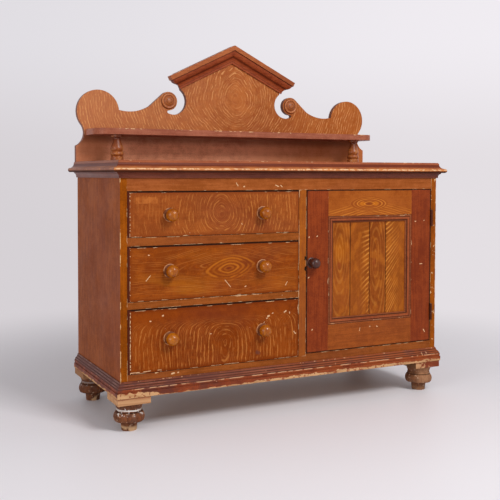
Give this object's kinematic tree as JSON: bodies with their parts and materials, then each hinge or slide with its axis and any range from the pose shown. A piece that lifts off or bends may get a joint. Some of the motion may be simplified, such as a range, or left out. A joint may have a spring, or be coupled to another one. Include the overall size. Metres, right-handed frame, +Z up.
{
  "type": "kitchen dresser",
  "caption": "Painted wood kitchen dresser: sliding drawers beside a hinged cupboard door with a turn latch, on turned feet, under a shaped gallery with a narrow shelf.",
  "frame": {"origin": "on the floor, in the middle of the outer box", "axes": "+X to the right seen from the front, +Y to the back, +Z up"},
  "size_m": [1.308, 0.5574, 1.3288],
  "materials": {
    "grained_paint": "ochre and orange-brown paint combed to look like wood grain, semi-gloss",
    "brown_paint": "dark red-brown paint, worn at the edges, semi-gloss",
    "bare_pine": "bare planed pine",
    "worn_wood": "worn paint over bare turned wood",
    "dark_knob": "polished dark brown",
    "steel": "dull, a little rusty"
  },
  "bodies": {
    "carcass": {"side_panel_left": "brown_paint", "side_panel_right": "brown_paint", "back_boards": "bare_pine", "bottom_board": "bare_pine", "partition_panel": "bare_pine", "centre_stile": "grained_paint", "top_rail": "grained_paint", "bottom_rail": "grained_paint", "drawer_divider_upper": "grained_paint", "drawer_divider_lower": "grained_paint", "drawer_runners": "bare_pine", "drawer_stops": "bare_pine", "cupboard_shelf": "bare_pine", "shelf_cleats": "bare_pine", "door_stop": "bare_pine", "top_board": "brown_paint", "top_moulding_front": "brown_paint", "top_moulding_left": "brown_paint", "top_moulding_right": "brown_paint", "bed_moulding": "brown_paint", "base_moulding_front": "brown_paint", "base_moulding_left": "brown_paint", "base_moulding_right": "brown_paint", "foot_blocks": "brown_paint", "feet": "worn_wood", "gallery_backboard": "grained_paint", "gallery_shelf": "brown_paint", "gallery_columns": "brown_paint", "pediment_moulding_left": "brown_paint", "pediment_moulding_right": "brown_paint", "scroll_bosses": "brown_paint", "hinge_frame_leaves": "steel", "hinge_pins": "steel", "hinge_frame_screws": "steel"},
    "drawer_1": {"drawer_1_front": "grained_paint", "drawer_1_sides": "bare_pine", "drawer_1_back": "bare_pine", "drawer_1_bottom": "bare_pine", "drawer_1_knobs": "grained_paint"},
    "drawer_2": {"drawer_2_front": "grained_paint", "drawer_2_sides": "bare_pine", "drawer_2_back": "bare_pine", "drawer_2_bottom": "bare_pine", "drawer_2_knobs": "grained_paint"},
    "drawer_3": {"drawer_3_front": "grained_paint", "drawer_3_sides": "bare_pine", "drawer_3_back": "bare_pine", "drawer_3_bottom": "bare_pine", "drawer_3_knobs": "grained_paint"},
    "door": {"door_latch_stile": "brown_paint", "door_hinge_stile": "brown_paint", "door_top_rail": "grained_paint", "door_bottom_rail": "grained_paint", "door_panel_boards": "grained_paint", "door_panel_moulding": "brown_paint", "door_knob_rose": "dark_knob", "hinge_door_leaves": "steel", "hinge_door_screws": "steel"},
    "latch": {"door_knob": "dark_knob", "latch_tongue": "steel"}
  },
  "joints": [
    {"name": "drawer_1_slide", "type": "slide", "parent": "carcass", "child": "drawer_1", "axis": [0, -1, 0], "range_m": [0, 0.36]},
    {"name": "drawer_2_slide", "type": "slide", "parent": "carcass", "child": "drawer_2", "axis": [0, -1, 0], "range_m": [0, 0.36]},
    {"name": "drawer_3_slide", "type": "slide", "parent": "carcass", "child": "drawer_3", "axis": [0, -1, 0], "range_m": [0, 0.36]},
    {"name": "door_hinge", "type": "hinge", "parent": "carcass", "child": "door", "pos_m": [0.60125, -0.23805, 0.4805], "axis": [0, 0, 1], "range_deg": [0, 170]},
    {"name": "latch_turn", "type": "hinge", "parent": "door", "child": "latch", "pos_m": [0.0755, -0.23325, 0.5125], "axis": [0, 1, 0], "range_deg": [0, 90]}
  ]
}
